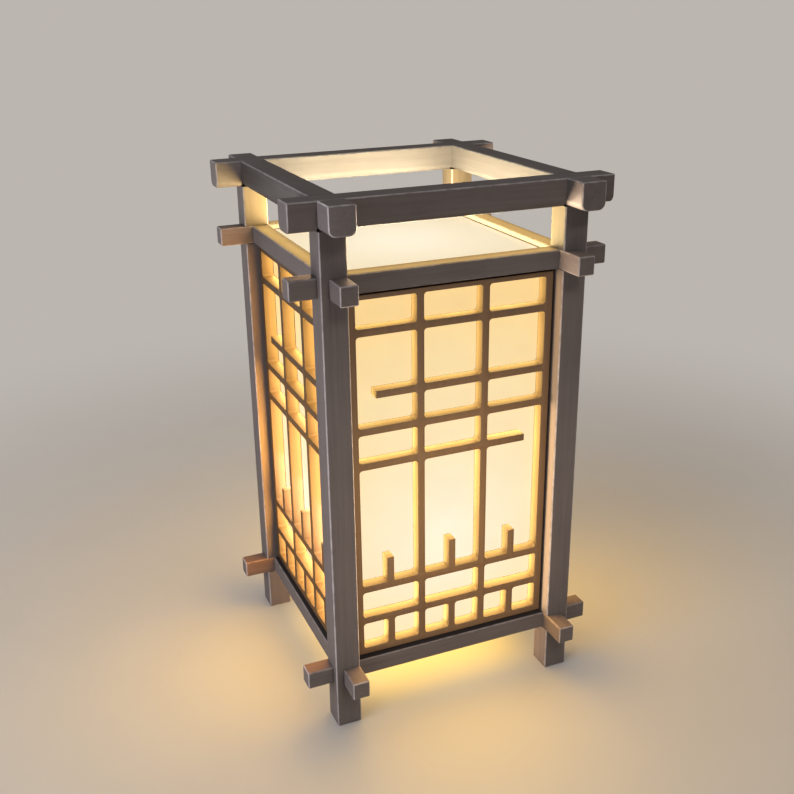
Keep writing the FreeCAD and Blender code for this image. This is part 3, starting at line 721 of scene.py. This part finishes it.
# Faces and bands that the lamp's own lights stand at. A band is its middle's height and how tall it is,
# or how deep where the light lies flat
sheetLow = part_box("opal_sheet_front")[0]
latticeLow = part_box("lattice_front")[0]
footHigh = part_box("lower_rail_front")[0].z
railLow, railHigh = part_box("upper_rail_front")
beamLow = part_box("top_beam_front")[0]
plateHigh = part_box("top_opal_plate")[1]
lampLook = {
    "gap": 0.0004,  # between a light and the face that it stands for
    "sideGap": 0.001,  # between a panel's light and the sheet's side edges
    "barsAway": 0.12,  # in front of the lattice, for the light that falls back on its bars
    "openingStep": 0.002,  # inward from the upper rail
    "openingShare": 0.8,  # of the opening between the upper rail and the beam
    "railTopGap": 0.003,
    "beamFaceGap": 0.008,  # above the plate
    "beamEndStep": 0.005,  # outward from the upper rail's inner face
    "beamEndLift": 0.0015,  # above the opening's middle
    "beamTall": 0.02,
    "footShares": (0.58, 0.79),  # of the height under the lower rail
}
panelWidth = 2 * (abs(sheetLow.x) - lampLook["sideGap"])
sheetFace = sheetLow.y - lampLook["gap"]
latticeFace = latticeLow.y - lampLook["gap"]
barsFace = latticeFace - lampLook["barsAway"]
footBand = [share * footHigh for share in lampLook["footShares"]]
railMiddle = (railLow.y + railHigh.y) / 2
railTopBand = (railHigh.z + lampLook["railTopGap"], railHigh.y - railLow.y)
openingFace = railHigh.y + lampLook["openingStep"]
openingMiddle = (railHigh.z + beamLow.z) / 2
openingBand = (openingMiddle, lampLook["openingShare"] * (beamLow.z - railHigh.z))
beamFaceBand = (plateHigh.z + lampLook["beamFaceGap"], lampLook["beamTall"])
beamEndFace = railHigh.y - lampLook["beamEndStep"]
beamEndBand = (openingMiddle + lampLook["beamEndLift"], lampLook["beamTall"])


def panelBand(*shares):
    low, high = heightsAt("lattice_front", shares)
    return (low + high) / 2, high - low


# The lamp's own light, given for the front and repeated on the other three sides. Each row holds its
# depth, band, width, tilt, watts, colour and what it falls on
outward, inward, downward, upward = -quarter, quarter, 0.0, math.pi
gold, amber, rose = (1.0, 0.67, 0.2), (1.0, 0.66, 0.33), (1.0, 0.76, 0.54)
cream, floorAmber, barsAmber = (1.0, 0.885, 0.566), (1.0, 0.57, 0.03), (1.0, 0.56, 0.08)
lowAmber, topAmber, footAmber = (1.0, 0.52, 0.14), (1.0, 0.68, 0.42), (1.0, 0.62, 0.34)
sideLights = {
    "wallsFoot": (sheetFace, panelBand(0.014, 0.18), panelWidth, outward, 0.55, gold, "lattices"),
    "wallsLow": (sheetFace, panelBand(0.18, 0.357), panelWidth, outward, 0.44, gold, "lattices"),
    "wallsMid": (sheetFace, panelBand(0.357, 0.656), panelWidth, outward, 0.82, gold, "lattices"),
    "wallsHigh": (sheetFace, panelBand(0.656, 0.989), panelWidth, outward, 0.6, gold, "lattices"),
    "bars": (barsFace, panelBand(0.207, 0.54), 0.6 * panelWidth, inward, 0.22, barsAmber, "lattices"),
    "postsLow": (latticeFace, panelBand(0.007, 0.639), panelWidth, outward, 1.7, amber, "posts"),
    "postsHigh": (latticeFace, panelBand(0.656, 0.989), panelWidth, outward, 0.4, amber, "posts"),
    "openingPosts": (openingFace, openingBand, panelWidth, outward, 0.03, gold, "posts"),
    "lowEnds": (latticeFace, panelBand(0.007, 0.972), panelWidth, outward, 2.2, lowAmber, "lowEnds"),
    "highEnds": (latticeFace, panelBand(0.506, 0.972), panelWidth, outward, 1.35, rose, "highEnds"),
    "endTops": (openingFace, openingBand, panelWidth, outward, 0.14, topAmber, "highEnds"),
    "railTops": (railMiddle, railTopBand, panelWidth, downward, 0.044, gold, "upperRails"),
    "beamFaces": (0.53 * sheetLow.y, beamFaceBand, 0.776 * panelWidth, upward, 0.64, cream, "beams"),
    "beamEnds": (beamEndFace, beamEndBand, 0.895 * panelWidth, outward, 0.8, rose, "beamEnds"),
    "feet": (0.235 * sheetLow.y, footBand, 0.6 * panelWidth, outward, 0.34, footAmber, "posts"),
    "floorGlow": (latticeFace, panelBand(-0.009, 0.989), panelWidth, outward, 0.49, floorAmber, "floor"),
}
# The left panel is seen almost along its face, where its light is stronger on the cell walls and deeper
# in colour on the posts and ends. Each row holds a share of the watts, a tint and a step further in
behindLattice = sheetFace - latticeFace
leftLights = {
    "wallsFoot": (1.8, (1.0, 0.95, 1.1), 0.0),
    "wallsLow": (2.2, (1.0, 1.0, 1.7), 0.0),
    "wallsMid": (1.65, (1.0, 0.96, 1.1), 0.0),
    "wallsHigh": (1.8, (1.0, 1.0, 1.0), 0.0),
    "openingPosts": (7.5, (1.0, 0.95, 0.6), 0.0),
    "postsLow": (4.2, (1.0, 0.7, 0.25), behindLattice),
    "postsHigh": (2.6, (1.0, 0.7, 0.25), behindLattice),
    "lowEnds": (0.9, (1.0, 0.65, 0.1), 0.0),
    "highEnds": (0.65, (1.0, 0.6, 0.1), 0.0),
    "endTops": (1.3, (1.0, 0.9, 0.8), 0.0),
    "beamEnds": (0.65, (1.0, 0.9, 0.4), 0.0),
    "feet": (0.25, (1.0, 0.65, 0.2), 0.0),
}
for side, turn in sideTurns.items():
    swing = Matrix.Rotation(math.radians(turn), 3, "Z")
    for name, (depth, (height, tall), width, tilt, watts, colour, target) in sideLights.items():
        if side == "left" and name in leftLights:
            share, tint, stepIn = leftLights[name]
            watts *= share
            colour = [own * part for own, part in zip(colour, tint)]
            depth += stepIn
        rotation = (tilt, 0.0, math.radians(turn))
        place = swing @ Vector((0.0, depth, height))
        reached = target + side if target in endFamilies else target
        addAreaLight(name + side.capitalize(), place, rotation, (width, tall), watts, colour, reached)

# The plate's and the open bottom's light: height, tilt, size, watts, colour and what it falls on
plateGold = (1.0, 0.74, 0.32)
plateFace = plateHigh.z + lampLook["gap"]
plateSize = 2 * abs(railHigh.y) - lampLook["gap"]
flatLights = {
    "plateGlow": (plateFace, upward, plateSize, 3.9, plateGold, "lowFrame"),
    "bottomGlow": (0.79 * footHigh, downward, 0.895 * panelWidth, 0.12, floorAmber, "floor"),
}
for name, (height, tilt, size, watts, colour, target) in flatLights.items():
    addAreaLight(name, (0.0, 0.0, height), (tilt, 0.0, 0.0), (size, size), watts, colour, target)
print("lights set")


cameraLook = {
    "azimuth": -22.6925,
    "elevation": 21.5126,
    "roll": -0.8055,
    "target": (0.0234666, 0.0710652, 0.2),
    "distance": 0.9531434,
    "lens": 46.865,
    "sensor": 36.0,
    "clipStart": 0.01,
}
azimuth, elevation, roll = (math.radians(cameraLook[key]) for key in ("azimuth", "elevation", "roll"))
level = Matrix.Rotation(azimuth, 3, "Z") @ Matrix.Rotation(quarter - elevation, 3, "X")
aim = level @ Matrix.Rotation(roll, 3, "Z")
viewpoint = Vector(cameraLook["target"]) + aim @ Vector((0.0, 0.0, cameraLook["distance"]))
bpy.ops.object.camera_add(location=viewpoint, rotation=aim.to_euler())
camera = bpy.context.active_object
camera.data.sensor_width = cameraLook["sensor"]
camera.data.sensor_fit = "HORIZONTAL"
camera.data.lens = cameraLook["lens"]
camera.data.clip_start = cameraLook["clipStart"]
bpy.context.scene.camera = camera
bpy.context.scene.view_settings.view_transform = "Standard"
print("camera set")
